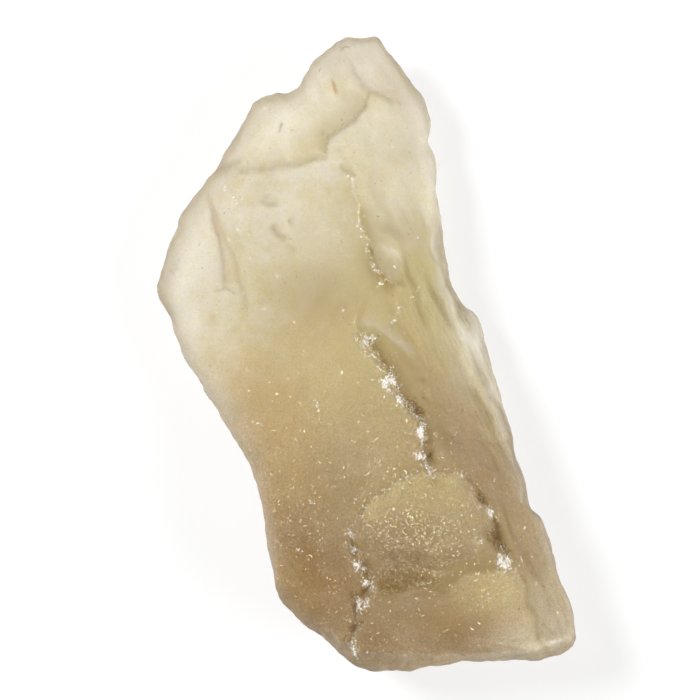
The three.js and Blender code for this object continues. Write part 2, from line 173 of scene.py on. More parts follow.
FORMS = {
    "lower lump": form((8.6, -26.4), (11.2, 8.2), -8, 2.6, 1),
    "recess below the lump": form((7, -34.9), (8.4, 3.6), 5, -2.3, 1.4),
    "oval scoop": form((3.9, 16), (3.7, 2.3), -46, -0.9, 1.1),
    "second scoop": form((2.4, 8.4), (4.2, 3.2), -60, -0.5, 1.3),
    "third scoop": form((5.8, 1.2), (5.6, 2.4), -54, -0.8, 1.3),
    "crescent scoop": form((-15.4, 24.9), (1.8, 1), -20, -0.6, 1.2),
    "second crescent": form((-13.9, 20), (1.8, 1), -30, -0.6, 1.2),
    "third crescent": form((-12.2, 21.4), (0.9, 0.6), 10, -0.4),
    "rim notch": form((-29.8, 23.8), (1.5, 1.1), 45, -0.8),
    "second rim notch": form((-32.2, 13.5), (1.5, 1.1), 70, -0.8),
    "small oval chip": form((-3.8, 7.1), (1, 0.7), 20, -0.35, 1),
    "crest hole": form((8, -9.2), (2.2, 1.6), 20, -1.6),
    "cleft under the crest": form((10.2, -16.8), (1.8, 2), 0, -1.4),
    "right lower cleft": form((21.2, -30), (1.8, 3), 35, -1.4),
    "corner scoop": form((29.8, -43), (2.4, 4.4), 14, -1.2),
    "middle hollow": form((-7.5, 9), (8.5, 7), -20, -0.8),
    "lower hollow": form((3, -13.5), (9, 6), -50, -0.8),
    "upper hollow": form((-13, 22), (10, 8.5), -30, -1.4),
    "edge hump": form((18, 2.2), (2.4, 5.4), 14, 0.8),
    "tip chip": form((-0.2, 43.4), (1.7, 1.4), 40, -0.8),
}
UNDER_FORMS = {
    "upper scoop": form((-6, 30), (11, 12), 20, 1.4),
    "left scoop": form((-20, 3), (10, 14), -15, 1.6),
    "lower scoop": form((8, -36), (15, 11), 5, 1.8),
    "right scoop": form((15, -12), (8, 13), 15, 1.6),
    "middle scoop": form((-5, -12), (8, 6), 30, 0.8),
}

# Long low waves run down the steep flank and fade towards the narrow end.
FLOW = {"heading": -66, "height": 0.13, "start": (5, 10), "fading": (24, 34)}
FLOW_WAVES = [
    {"spacing": 4.6, "share": 1, "sway": 0.6, "sway_length": 7},
    {"spacing": 2.7, "share": 0.6, "sway": 1.1, "sway_length": 11},
]
WAVES = [
    {"length": 31, "heading": 25, "height": 0.3, "start": 0.4},
    {"length": 19, "heading": -50, "height": 0.2, "start": 1.9},
    {"length": 12, "heading": 80, "height": 0.1, "start": 4.1},
]
WAVE_BEND = 0.9
UNDER_WAVES = {"share": 0.8, "shift": 40}
RIM_LEVEL = {"share": 0.5, "wander": 0.17, "along_x": 4.6, "along_y": 7.3, "start": 1.0}
RIM_ROUNDING = {"share": 0.42, "least": 1.6, "most": 4.2}
THINNEST = 3.2

# Small nicks along the rim, and its usual distance from the middle.
RIM_NICKS = [{"size": 3.4, "reach": 0.3, "seed": 4.1}, {"size": 1.1, "reach": 0.13, "seed": 9.7}]
RIM_RADIUS = 35.0

# The mesh: rings of points from the middle to the rim. Each has RING_STEP points more than the last.
RINGS = 127
RING_STEP = 6
RIM_CROWDING = 0.45
CURVE_PIECES = 4
RIM_PIECES = 16
TINY = 1e-12


def turned(dx, dy, degrees):
    c = math.cos(math.radians(degrees))
    s = math.sin(math.radians(degrees))
    return c * dx + s * dy, c * dy - s * dx


def smooth(value, low, high):
    t = np.clip((value - low) / (high - low), 0.0, 1.0)
    return t * t * (3.0 - 2.0 * t)


def spline(points, pieces=CURVE_PIECES, closed=False):
    """Points along the smooth curve through the given points."""
    p = np.array(points, float)
    if closed:
        p = np.vstack([p[-1], p, p[0], p[1]])
    else:
        p = np.vstack([2 * p[0] - p[1], p, 2 * p[-1] - p[-2]])
    t = np.arange(pieces)[:, None] / pieces
    stretches = []
    for a, b, c, d in zip(p[:-3], p[1:-2], p[2:-1], p[3:]):
        stretches.append(0.5 * (2 * b + (c - a) * t + (2 * a - 5 * b + 4 * c - d) * t ** 2
                                + (3 * b - a - 3 * c + d) * t ** 3))
    return np.vstack(stretches if closed else stretches + [p[-2:-1]])


def distance_across(curve, x, y):
    """Distance to a curve, positive on its right."""
    best = np.full(x.shape, np.inf)
    side = np.ones(x.shape)
    for a, b in zip(curve[:-1], curve[1:]):
        length = np.hypot(*(b - a))
        ex, ey = (b - a) / length
        along = np.clip((x - a[0]) * ex + (y - a[1]) * ey, 0, length)
        ox = x - a[0] - along * ex
        oy = y - a[1] - along * ey
        distance = np.hypot(ox, oy)
        nearer = distance < best
        best = np.where(nearer, distance, best)
        side = np.where(nearer, np.where(ex * oy - ey * ox > 0, -1.0, 1.0), side)
    return side * best


def fade_at_ends(curve, length, x, y):
    fade = np.ones(x.shape)
    for end, inner in ((curve[0], curve[1]), (curve[-1], curve[-2])):
        ex, ey = (inner - end) / np.hypot(*(inner - end))
        fade = fade * smooth((x - end[0]) * ex + (y - end[1]) * ey, 0, length)
    return fade


def scar_height(s, x, y):
    dx = x - s["at"][0]
    dy = y - s["at"][1]
    u, v = turned(dx, dy, s["turn"])
    plane = s["at"][2] + s["slope"][0] * dx + s["slope"][1] * dy
    return plane + 0.5 * (s["bowl"][0] * u * u + s["bowl"][1] * v * v)


def worn_lowest(heights):
    """The lowest of the heights, with the edges between them worn round."""
    stack = np.array(heights)
    lowest = stack.min(axis=0)
    return lowest - EDGE_WEAR * np.log(np.exp((lowest - stack) / EDGE_WEAR).sum(axis=0))


def step_drop(s, x, y):
    curve = spline(s["line"])
    across = distance_across(curve, x, y)
    if s["sharp"] == "foot":
        wall = 1 - np.cos(np.clip(across / s["wall"] + 1, 0, 1) * math.pi / 2)
    else:
        wall = np.sin(np.clip(across / s["wall"], 0, 1) * math.pi / 2)
    return s["drop"] * wall * fade_at_ends(curve, s["fade"], x, y) * (1 - smooth(across, 0, s["reach"]))


def groove_depth(g, x, y):
    curve = spline(g["line"])
    across = distance_across(curve, x, y)
    swell = 1 + GROOVE_SWELL["share"] * np.sin((x + GROOVE_SWELL["slant"] * y) / GROOVE_SWELL["length"])
    return g["depth"] * swell * fade_at_ends(curve, GROOVE_FADE, x, y) * np.exp(-((across / g["width"]) ** 2))


def form_height(f, x, y):
    u, v = turned(x - f["at"][0], y - f["at"][1], f["turn"])
    reach = np.minimum((u / f["size"][0]) ** 2 + (v / f["size"][1]) ** 2, 1.0)
    return f["height"] * (1 - reach) ** f["edge"]


def wave_height(x, y):
    z = np.zeros(x.shape)
    for wave in WAVES:
        u, v = turned(x, y, wave["heading"])
        bend = WAVE_BEND * np.sin(v / wave["length"])
        z += wave["height"] * np.sin(2 * math.pi * u / wave["length"] + wave["start"] + bend)
    return z


def flow_height(x, y):
    across = turned(x, y, FLOW["heading"])[1]
    share = smooth(across, *FLOW["start"]) * (1 - smooth(y, *FLOW["fading"]))
    z = np.zeros(x.shape)
    for wave in FLOW_WAVES:
        sway = wave["sway"] * np.sin(y / wave["sway_length"])
        z += wave["share"] * np.sin(2 * math.pi * across / wave["spacing"] + sway)
    return FLOW["height"] * share * z


# Edges and lines run unevenly: points in the plane are moved by noise of these sizes.
WOBBLES = [{"size": 4.0, "reach": 0.7, "seed": 11.3}, {"size": 1.1, "reach": 0.2, "seed": 31.7}]
SEED_DIRECTION = (1.0, 1.7, 0.6)


def noise_at(points, size, seed):
    """Smooth noise from about -1 to 1 whose lumps are about `size` across."""
    offset = Vector([seed * share for share in SEED_DIRECTION])
    scale = 1.0 / size
    return np.array([noise.noise(Vector(p) * scale + offset) for p in points])


def wobbled(x, y):
    flat = np.column_stack([x, y, np.zeros(len(x))])
    for w in WOBBLES:
        x = x + w["reach"] * noise_at(flat, w["size"], w["seed"])
        y = y + w["reach"] * noise_at(flat, w["size"], -w["seed"])
    return x, y


def upper_height(x, y):
    x, y = wobbled(x, y)
    z = worn_lowest([scar_height(s, x, y) for s in UPPER_SCARS.values()])
    z += wave_height(x, y) + flow_height(x, y)
    z += sum(form_height(f, x, y) for f in FORMS.values())
    z -= sum(step_drop(s, x, y) for s in STEPS.values())
    z -= sum(groove_depth(g, x, y) for g in GROOVES.values())
    return z


def under_height(x, y):
    rise = -worn_lowest([-scar_height(s, x, y) for s in UNDER_SCARS.values()])
    z = np.maximum(rise - UNDER_SETTLE, 0) + sum(form_height(f, x, y) for f in UNDER_FORMS.values())
    waves = UNDER_WAVES["share"] * np.minimum(z, 1) * wave_height(x + UNDER_WAVES["shift"], y)
    return np.maximum(z + waves, 0)


def both_heights(x, y, rim_distance):
    """The two sides, drawn together over the last millimetres before the rim."""
    under = under_height(x, y)
    upper = np.maximum(upper_height(x, y), under + THINNEST)
    wander = np.sin(x / RIM_LEVEL["along_x"] + RIM_LEVEL["start"]) * np.cos(y / RIM_LEVEL["along_y"])
    level = under + (upper - under) * (RIM_LEVEL["share"] + RIM_LEVEL["wander"] * wander)
    width = np.clip((upper - under) * RIM_ROUNDING["share"], RIM_ROUNDING["least"], RIM_ROUNDING["most"])
    t = np.minimum(rim_distance / width, 1)
    opening = np.sqrt(1 - (1 - t) ** 2)
    return level + (upper - level) * opening, level + (under - level) * opening


def ring_layout():
    """Points of all rings in the plane, their distance to the rim, and the ring that each is in."""
    rim = spline(RIM, RIM_PIECES, closed=True)
    rim = np.vstack([rim, rim[:1]])
    reached = np.concatenate([[0], np.cumsum(np.hypot(*np.diff(rim, axis=0).T))])
    points, gaps, rings = [], [], []
    for ring in range(RINGS + 1):
        count = max(ring * RING_STEP, 1)
        places = np.arange(count) / count * reached[-1]
        edge = np.column_stack([np.interp(places, reached, rim[:, 0]), np.interp(places, reached, rim[:, 1])])
        flat = np.column_stack([edge, np.zeros(count)])
        nick = 1 + sum(n["reach"] / RIM_RADIUS * noise_at(flat, n["size"], n["seed"]) for n in RIM_NICKS)
        edge = MIDDLE + (edge - MIDDLE) * nick[:, None]
        t = ring / RINGS
        radius = t + (math.sin(t * math.pi / 2) - t) * RIM_CROWDING
        inner = np.array(MIDDLE) + (edge - MIDDLE) * radius
        points.append(inner)
        gaps.append(np.hypot(*(edge - inner).T))
        rings.append(np.full(count, ring))
    return np.vstack(points), np.concatenate(gaps), np.concatenate(rings)


def ring_triangles():
    """Triangles of one side, seen from above."""
    triangles = []
    start = 1
    inner_start = 0
    for ring in range(1, RINGS + 1):
        outer_count = ring * RING_STEP
        inner_count = max((ring - 1) * RING_STEP, 1)
        for sector in range(RING_STEP):
            for i in range(ring):
                outer = sector * ring + i
                inner = sector * (ring - 1) + i
                here = inner_start + inner % inner_count
                after = start + (outer + 1) % outer_count
                triangles.append((here, after, start + outer))
                if i < ring - 1:
                    triangles.append((here, inner_start + (inner + 1) % inner_count, after))
        inner_start = start
        start += outer_count
    return np.array(triangles)


def point_normals(points, triangles):
    a, b, c = (points[triangles[:, i]] for i in range(3))
    face = np.cross(b - a, c - a)
    normals = np.zeros(points.shape)
    for i in range(3):
        np.add.at(normals, triangles[:, i], face)
    return normals / np.maximum(np.linalg.norm(normals, axis=1, keepdims=True), TINY)


def coarse_lump():
    """Points in millimetres, triangles facing out, thicknesses, distances to the rim, and what is on top."""
    plane, gap, ring = ring_layout()
    upper, under = both_heights(plane[:, 0], plane[:, 1], gap)
    inside = ring < RINGS
    points = np.vstack([np.column_stack([plane, upper]), np.column_stack([plane[inside], under[inside]])])
    triangles = ring_triangles()
    below = np.where(inside[triangles], triangles + len(plane), triangles)
    everything = np.vstack([triangles, below[:, ::-1]])
    thickness = np.concatenate([upper - under, (upper - under)[inside]])
    gaps = np.concatenate([gap, gap[inside]])
    return points, everything, thickness, gaps, (np.arange(len(points)) < len(plane)).astype(float)


# Fine relief, in millimetres.
GRAIN = {"size": 0.9, "height": 0.035, "seed": 3.1}
MOTTLE = {"size": 3.4, "height": 0.11, "seed": 8.4}
RIPPLE = {"size": 1.8, "height": 0.05, "seed": 12.7}
SWELL = {"size": 8, "height": 0.3, "seed": 6.6}
SIDE_SCOOPS = [{"size": 6.5, "height": 0.5, "seed": 21.3}, {"size": 2.4, "height": 0.16, "seed": 5.9}]
SIDE_REACH = (0.6, 4)
SUGAR = {"size": 0.75, "height": 0.26, "seed": 5.2}
SUGAR_AREAS = [form((7.4, -29.6), (11, 6.2), -8, 1.6), form((6.4, -35.4), (9, 3.6), 5, 1.6)]
CRUST = {"size": 0.6, "height": 0.3, "seed": 4.4}
LOWER_HALF = (6, -22)
STREAKS = [
    {"size": (13, 1.7), "height": 0.3, "seed": 2.3},
    {"size": (6, 0.6), "height": 0.07, "seed": 6.1},
]
STREAK_FADING = {"share": 0.8, "reach": (8, 26)}
STREAK_SHADE = {"gain": 4.4, "most": 0.6}
PITS = {"count": 420, "radius": (0.35, 1.3), "rarity": 3, "depth": 0.22, "shallowest": 0.4, "seed": 7}


def sugar_weight(x, y, upper):
    """Where the lump's lower part and the recess under it are rough and grainy."""
    return np.clip(sum(form_height(area, x, y) for area in SUGAR_AREAS), 0, 1) * upper


def streak_relief(x, y):
    """Long streaks down the steep flank, fainter towards the narrow end."""
    along, across = turned(x, y, FLOW["heading"])
    fading = STREAK_FADING["share"] * smooth(y, *STREAK_FADING["reach"])
    flank = smooth(across, *FLOW["start"]) * (1 - fading)
    relief = np.zeros(len(x))
    for streak in STREAKS:
        stretched = np.column_stack([along / streak["size"][0], across / streak["size"][1], np.zeros(len(x))])
        relief += streak["height"] * flank * noise_at(stretched, 1.0, streak["seed"])
    return relief


def relief_noise(kind, points):
    return kind["height"] * noise_at(points, kind["size"], kind["seed"])


def fine_relief(points, triangles, gaps, upper):
    """The points, moved along their normals by all the fine relief."""
    x, y = points[:, 0], points[:, 1]
    low = smooth(-y, -LOWER_HALF[0], -LOWER_HALF[1])
    side = 1 - smooth(gaps, *SIDE_REACH)
    relief = relief_noise(GRAIN, points) + relief_noise(RIPPLE, points)
    relief += (1 + low) * relief_noise(MOTTLE, points)
    for scoop in SIDE_SCOOPS:
        relief += side * relief_noise(scoop, points)
    relief += upper * relief_noise(SWELL, points)
    relief += upper * dust_weight(*wobbled(x, y)) * relief_noise(CRUST, points)
    relief += sugar_weight(x, y, upper) * relief_noise(SUGAR, points)
    relief += upper * streak_relief(x, y)
    relief -= pit_depths(points)
    return points + point_normals(points, triangles) * relief[:, None]


def pit_depths(points):
    """Small round pits from wind-blown sand, at random points of the surface."""
    rng = np.random.default_rng(PITS["seed"])
    tree = kdtree.KDTree(len(points))
    for i, p in enumerate(points):
        tree.insert(p, i)
    tree.balance()
    depth = np.zeros(len(points))
    low, high = PITS["radius"]
    for i in rng.integers(0, len(points), PITS["count"]):
        radius = low + (high - low) * rng.random() ** PITS["rarity"]
        deep = PITS["depth"] * radius * (PITS["shallowest"] + (1 - PITS["shallowest"]) * rng.random())
        for _, j, distance in tree.find_range(points[i], radius):
            depth[j] = max(depth[j], deep * (1 - (distance / radius) ** 2) ** 2)
    return depth


def lump_mesh():
    points, triangles, thickness, gaps, upper = coarse_lump()
    points = fine_relief(points, triangles, gaps, upper)
    middle = (points.min(axis=0) + points.max(axis=0)) / 2
    points[:, :2] -= middle[:2]
    points[:, 2] = np.maximum(points[:, 2], 0)
    mesh = bpy.data.meshes.new("raw_desert_glass")
    mesh.from_pydata((points * MM).tolist(), [], triangles.tolist())
    mesh.polygons.foreach_set("use_smooth", np.ones(len(triangles), bool))
    masks = surface_masks(points, upper)
    masks["depth"] = np.clip(thickness / DEEPEST, 0, 1)
    brown = smooth(-points[:, 0] - points[:, 1], *BROWN_PART)
    masks["edge"] = (1 - smooth(gaps, *THIN_EDGE)) * (1 - EDGE_LOSS * brown)
    # Painted shade along the rim, strongest towards the upper left, for the darker edges of thin glass.
    rim_shade = RIM_SHADE_LEAST + (1 - RIM_SHADE_LEAST) * smooth(points[:, 1] - points[:, 0], *RIM_SHADE_PART)
    masks["smoke_and_rim_shade"] = np.maximum(masks["smoke_and_rim_shade"], (1 - smooth(gaps, *SHADED_RIM)) * rim_shade)
    for name, values in masks.items():
        layer = mesh.attributes.new(name, "FLOAT", "POINT")
        layer.data.foreach_set("value", values.astype(np.float32))
    mesh.update()
    return mesh


# The pale parts of the rim and its painted shade, in millimetres.
THIN_EDGE = (0.6, 5)
BROWN_PART = (22, 44)
EDGE_LOSS = 0.8
SHADED_RIM = (0.3, 4.5)
RIM_SHADE_PART = (15, 45)
RIM_SHADE_LEAST = 0.2
DEEPEST = 20.0
FLANK_START = (4, 9)
FLANK_END = (4, 30)
FLANK_TIP_LOSS = 0.8

# Dust and tints, in millimetres. A line has a half width and a strength. A spot has its place, its two half
# widths, its turn in degrees and its strength. A band starts crisply at a line and fades on one side.
DUST_LINES = [
    (CREST_CHAIN, 1.4, 0.6), (LEFT_DEPOSIT, 1.5, 0.55), (RIGHT_DEPOSIT, 1.5, 0.5), (ARCH_LINE, 0.7, 0.5),
    (UPPER_CREST[2:], 0.4, 0.6), (LIP_LINE, 0.6, 0.45),
    ([(-23.2, 27.6), (-21.4, 25.2), (-20.9, 22), (-20.5, 19.4)], 0.8, 0.4),
    ([(-6.2, 33.6), (-5.4, 31), (-3, 28.6)], 0.9, 0.32),
]
DUST_SPOTS = [
    (2.3, 11.4, 0.9, 0.6, -30, 1), (-1.6, 5.3, 1, 0.7, -20, 1), (4.6, 5.5, 1.4, 0.6, 60, 0.8),
    (5.2, 7.3, 0.6, 0.9, 0, 0.8), (0.2, 2.6, 1.8, 0.9, -10, 1.1), (2.8, -1.6, 0.9, 0.7, -50, 1),
    (3.6, -4.8, 1.9, 1.1, -60, 1.3), (5.6, -8, 1.4, 0.7, -60, 1), (8.6, -12.4, 1, 2, 10, 1.3),
    (8.6, -16.6, 1.1, 1.4, 30, 1.3), (-2.2, -31.2, 0.5, 1.6, 8, 1), (-1.5, -34.2, 0.9, 1.5, 10, 1.1),
    (-0.2, -37.2, 0.9, 1.1, 30, 1), (-1.2, -40.2, 1.9, 0.9, 40, 1.1), (-2.4, -44.6, 0.5, 1, 0, 1),
    (-1.9, -47.6, 0.9, 1.4, 20, 1), (19.6, -26, 0.9, 1.5, 20, 1), (17.4, -22.6, 0.8, 1.3, 30, 0.8),
    (22, -33.2, 1.25, 2, 10, 1.2), (24.6, -30.4, 0.9, 0.5, 20, 0.8), (18.4, -30.6, 0.9, 0.6, -30, 0.8),
    (-23.4, 27, 0.9, 0.4, -50, 1.2), (-21.4, 24.6, 0.8, 0.4, -50, 1.2), (30.5, -46.8, 2, 1, 20, 0.6),
    (-8.6, -24, 0.8, 0.3, -10, 0.8), (-17.6, -11.4, 1.3, 0.3, -30, 0.7), (-8, -8.4, 0.3, 0.9, 10, 0.7),
]
SPECKS = [
    (-2.3, 28.4, 0.5, 0.5, 0, 1), (-0.4, 33, 0.35, 0.35, 0, 1), (-1.6, 30.7, 0.3, 0.3, 0, 1),
    (4.3, 33.5, 0.35, 0.35, 0, 1), (-0.7, 38.4, 0.3, 0.3, 0, 1), (-5.1, 31.1, 0.35, 0.35, 0, 1),
    (-21.8, 25.7, 0.5, 0.4, 0, 1), (-23.3, 27.3, 0.4, 0.4, 0, 1), (-20.8, 20.4, 0.6, 0.8, 20, 0.8),
    (-23.9, 20.7, 0.35, 0.35, 0, 1), (4.6, 14, 0.4, 0.4, 0, 1), (8.4, 18.9, 0.35, 0.35, 0, 1),
    (2.3, 11.4, 0.6, 0.5, 0, 1), (-3.8, 7.1, 0.9, 0.6, 20, 0.7), (-14.6, 12.6, 0.3, 0.3, 0, 1),
    (-26.8, 14.2, 0.3, 0.3, 0, 1), (-19, 15.4, 0.3, 0.3, 0, 1), (2.6, 24.4, 0.3, 0.3, 0, 1),
]
TINTS = {
    "brown": [
        (8, -50.2, 10, 1.6, 3, 0.5), (-8, -35.5, 14, 7, -70, 1), (-1.5, -47, 6, 5, -30, 0.8),
        (16.4, -44.2, 6, 3.6, 8, 1.2), (-5.5, -27, 3, 6, 0, 0.4), (-10.8, -40.4, 6, 5, -40, 0.9),
        (20.8, -29.6, 2.2, 1.2, -50, 0.6), (-24.4, 20.6, 0.8, 4.6, 14, 0.6),
    ],
    "amber": [
        (-15, -10, 12, 7, -60, 0.8), (-19, -2, 5, 5, 0, 0.3), (-24.2, 20, 1, 4.6, 14, 0.3),
        (-11, -38, 8, 5, -40, 0.5), (-13, -19, 8, 6, -60, 0.8), (15.5, -42, 7, 4, 0, 0.6),
        (10, -50, 12, 1.8, 3, 1),
    ],
    "grey": [
        (18.5, -19, 19, 4.6, -60, 1), (6, -42.5, 10, 5.4, -6, 1), (4.4, -33.6, 7, 4.4, 0, 0.7),
        (-8, 8, 8, 8, 10, 0.4), (-12, -18, 8, 8, 0, 0.25), (4.6, 44.2, 2.4, 5, 35, 0.45),
    ],
    "olive": [
        (8.6, -22.6, 8, 3.8, -10, 1), (20.4, -38.4, 6.4, 3.6, -20, 1), (-5, -2, 8, 9, 15, 0.4),
        (1.6, 20, 1.6, 6.4, 12, 0.4), (3, 11.5, 3.4, 1.2, -45, 0.5), (1.6, 41.6, 3, 2, 0, 0.6),
    ],
    # Pale spots: partly thin, paler glass, partly painted light on lit walls and along the right edge, which
    # the lamps leave darker.
    "pale": [
        (17.6, 3, 3.8, 9, 14, 1.25), (11.6, 26, 2.4, 9, 0, 0.8), (-14, 37, 7, 4, 40, 0.7),
        (-29, 15, 5.4, 10, -20, 0.6), (3.9, 16.2, 3, 1.7, -46, 0.8), (5, 33, 4.4, 10, -20, 0.5),
        (29.5, -42, 3, 6, 15, 0.6), (27.5, -49.4, 7, 1.8, 6, 0.9), (20.8, -7.2, 1.8, 4.6, 22, 1.1),
        (5, 25, 5, 8, 0, 0.8), (-9, 19, 9, 7, 0, 0.7), (24, -45.6, 8, 3.4, 5, 0.5),
    ],
    # Greyer, smoky patches, most of them near the rim and the tip; the rim's painted shade joins them.
    "smoke_and_rim_shade": [
        (4.8, 43, 2.6, 6, 32, 0.5), (7.6, 33, 2.4, 5, 0, 0.3), (-25, 27.4, 5, 2.4, 50, 0.5),
        (-4.4, 48.6, 4.4, 3.2, 30, 0.8), (-15, 41, 5, 2.4, 20, 0.5), (-24, 30, 4, 2, 45, 0.6),
        (-30.5, 22, 2, 1.4, 50, 0.35), (-33, 13, 1.4, 2, 0, 0.5), (-2, 40, 2.4, 4.6, -35, 0.5),
        (-0.4, 49, 3, 2, 0, 0.75),
    ],
    # Painted shade: dark patches where the recess under the lump, the scoops and the flank would lie in
    # shade.
    "dark": [
        (6.6, -36.2, 6.8, 2.2, 4, 0.95), (3, -31.6, 2.2, 1.6, 0, 0.4), (-0.6, -34.6, 1.4, 3.6, 4, 0.8),
        (-7, 8.6, 5.5, 3.6, -20, 0.2), (-13, -24, 12, 4, -60, 0.12), (-4, -22, 7, 6, -50, 0.32),
        (-17, -8, 6, 5, 0, 0.14), (8, -26, 9, 7, 0, 0.14), (9, -41.6, 11, 4.4, 0, 0.4),
        (-10.8, -40.4, 6, 5, -40, 0.26), (-11.4, -34.4, 4, 6, -20, 0.22), (8.6, -28.2, 8, 3.6, -8, 0.42),
        (8.9, -38.6, 5, 1.5, 0, 0.36), (4.2, -35.5, 3, 1.5, 0, 0.3), (29, -40, 2.4, 4, 15, 0.25),
        (14, -9, 10, 4, -62, 0.14), (5.4, 41, 2.4, 5, 30, 0.1), (6, 34, 3, 8, 0, 0.13),
        (16, -43.8, 4.6, 3, 10, 0.4), (10, -50, 12, 1.6, 3, 0.25), (4.2, -37.2, 4.8, 1.6, 6, 1),
        (14.4, -32, 3.4, 2.2, 0, 0.6), (25, -33, 5, 3, -60, 0.4), (20, -20, 12, 3.6, -62, 0.3),
        (7.6, 19, 6, 3, -64, 0.18), (4.2, 19.9, 4.2, 1.1, -26, 0.4), (6.2, -1.4, 5.6, 1.5, -50, 0.4),
        (12.5, -13, 6, 1.6, -56, 0.5), (20.6, -31, 3.4, 1.4, -55, 0.7),
    ],
}
STRIP_LINE = [
    (10, 34), (10.3, 28), (10.7, 22), (12, 15.5), (14.2, 9), (16.8, 3.6), (18.4, -0.5), (20.2, -6),
    (22.2, -12.5),
]
# Cloudy, milkier glass that is also paler: partly real milkiness, partly painted light, as whitish highlights
# on the upper left and a lighter strip along the right edge.
CLOUDY_LINES = [(STRIP_LINE, 1.7, 0.36)]
CLOUDY_SPOTS = [
    (17, 3, 2.2, 4.6, 14, 0.7), (20.6, -6.8, 1.6, 4.6, 22, 0.6), (-14, 37.6, 6, 3, 40, 0.35),
    (-12, 24, 4, 3, 0, 0.3), (5.4, 27, 3, 5, 0, 0.3), (28, -47, 5, 1.6, 10, 0.6),
    (3.9, 16.4, 2.6, 1.4, -46, 0.4),
]
LEDGE_LINE = [(-1.6, 4.6), (1, 4.5), (3.6, 3.1), (5.6, 0.6), (7.7, -1.4)]
SECOND_FOLD = [(-25.4, 25), (-23.4, 20), (-21.6, 15.6), (-19.8, 10.4), (-19.4, 7)]
OVAL_EDGE = [(5.8, 10.4), (3.4, 12), (1.8, 14), (1.2, 16.4), (1.8, 19)]
LEFT = -1
RIGHT = 1
BANDS = {
    # Painted shade: dark bands on the shaded side of the steps, crests, creases, deposit lines and the oval
    # scoop's edge.
    "dark": [
        (SHEET_LINE[4:], LEFT, 2.4, 0.46), (SHEET_LINE[3:], LEFT, 4.4, 0.16),
        (SHEET_LINE[:5], LEFT, 1.6, 0.1), (TIP_CREASE, RIGHT, 1.5, 0.28), (OVAL_EDGE, LEFT, 2, 0.75),
        (UPPER_CREST[:8], RIGHT, 2.2, 0.5), (LOWER_CREST[:8], RIGHT, 2.6, 0.85),
        (LEFT_DEPOSIT, LEFT, 3, 0.45), (RIGHT_DEPOSIT, LEFT, 2.4, 0.4), (ARCH_LINE, LEFT, 2.6, 0.42),
        (LOWER_FACE_LINE, LEFT, 3.4, 0.7), (CORNER_LINE, RIGHT, 0.9, 0.6), (LIP_LINE, LEFT, 2.2, 0.2),
    ],
    "brown": [
        (FOLD_LINE, LEFT, 1.6, 0.4), (SECOND_FOLD, RIGHT, 1, 0.36),
    ],
    # The olive bands beside the upper crest and the sheet line are painted shade; the band inside the arch is
    # partly painted light on the lump's top.
    "olive": [
        (UPPER_CREST[3:], RIGHT, 4, 0.4), (SHEET_LINE[3:], LEFT, 4, 0.5), (ARCH_LINE, RIGHT, 4, 1),
        (CORNER_LINE, LEFT, 3, 0.6), (LOWER_FACE_LINE[5:], RIGHT, 3.4, 0.7),
    ],
    # Pale bands: partly thin glass at the rim, partly painted light on lit walls, the ledge and beside the
    # tip crease.
    "pale": [
        (OVAL_EDGE, RIGHT, 3, 0.7), (TIP_CREASE, LEFT, 1.2, 0.6), (LEDGE_LINE, LEFT, 1.3, 0.85),
        (OUTER_EDGE, RIGHT, 6, 0.9), (FOLD_LINE, RIGHT, 6, 0.7), (LIP_LINE, RIGHT, 2.4, 0.3),
        (LIP_LINE[4:], LEFT, 1.6, 0.5),
    ],
}
BAND_START = 0.25
# Dark flecks along the creases, the lower crest and the arch; they darken these lines.
DARK_FLECK_LINES = [
    (SHEET_LINE[3:], 0.35, 0.3), (SHEET_LINE[:4], 0.8, 0.25), (LOWER_CREST[:8], 0.9, 0.5),
    (ARCH_LINE, 0.5, 0.4), (TIP_CREASE, 0.35, 0.3), ([(-6.6, 36.2), (-5.6, 35.4)], 0.4, 0.4),
]
# Lines along which more painted glints lie, as rows of bright dots.
BEAD_LINES = [
    (UPPER_CREST[1:9], 0.5, 0.55), (SHEET_LINE[4:], 0.5, 0.25), (SECOND_FOLD, 0.9, 0.2),
    ([(3.2, 12), (6, 10.2), (9, 9.4)], 1, 0.25),
]
# Short smooth dark marks, without grains.
MARKS = [
    ([(-24.6, 10.1), (-23.1, 10.6), (-21.5, 10.2)], 0.25, 0.4), (FOLD_LINE, 0.3, 0.26),
    (SECOND_FOLD, 0.3, 0.2), (SHEET_LINE[4:], 0.35, 0.32), (SHEET_LINE[1:5], 0.3, 0.16),
    ([(-16.6, 24.9), (-15.7, 24.3), (-14.5, 24.5)], 0.4, 0.3),
    ([(-15.3, 20.3), (-14.4, 19.5), (-13.2, 18.9)], 0.45, 0.42),
    ([(-12.6, 21.6), (-11.9, 21.1)], 0.35, 0.25), ([(-12.6, 17.5), (-11.9, 17.1)], 0.35, 0.25),
    ([(-4.4, 30.4), (-3.6, 29.6), (-2.8, 28.7)], 0.5, 0.4),
    ([(-25, 29.7), (-22.8, 30.4), (-20.9, 31.6)], 0.6, 0.35), ([(-13.8, 37.3), (-14.3, 36.2)], 0.25, 0.6),
]
RUST_SPOTS = [
    (-5.2, 43.7, 0.35, 1.6, 12, 1), (-19.3, 31.4, 0.25, 0.7, 30, 0.6), (-20.2, 28.6, 0.3, 0.5, 0, 0.5),
    (0.3, 2.2, 0.4, 0.3, 0, 0.7), (2.6, 2, 0.4, 0.3, 0, 0.7),
]
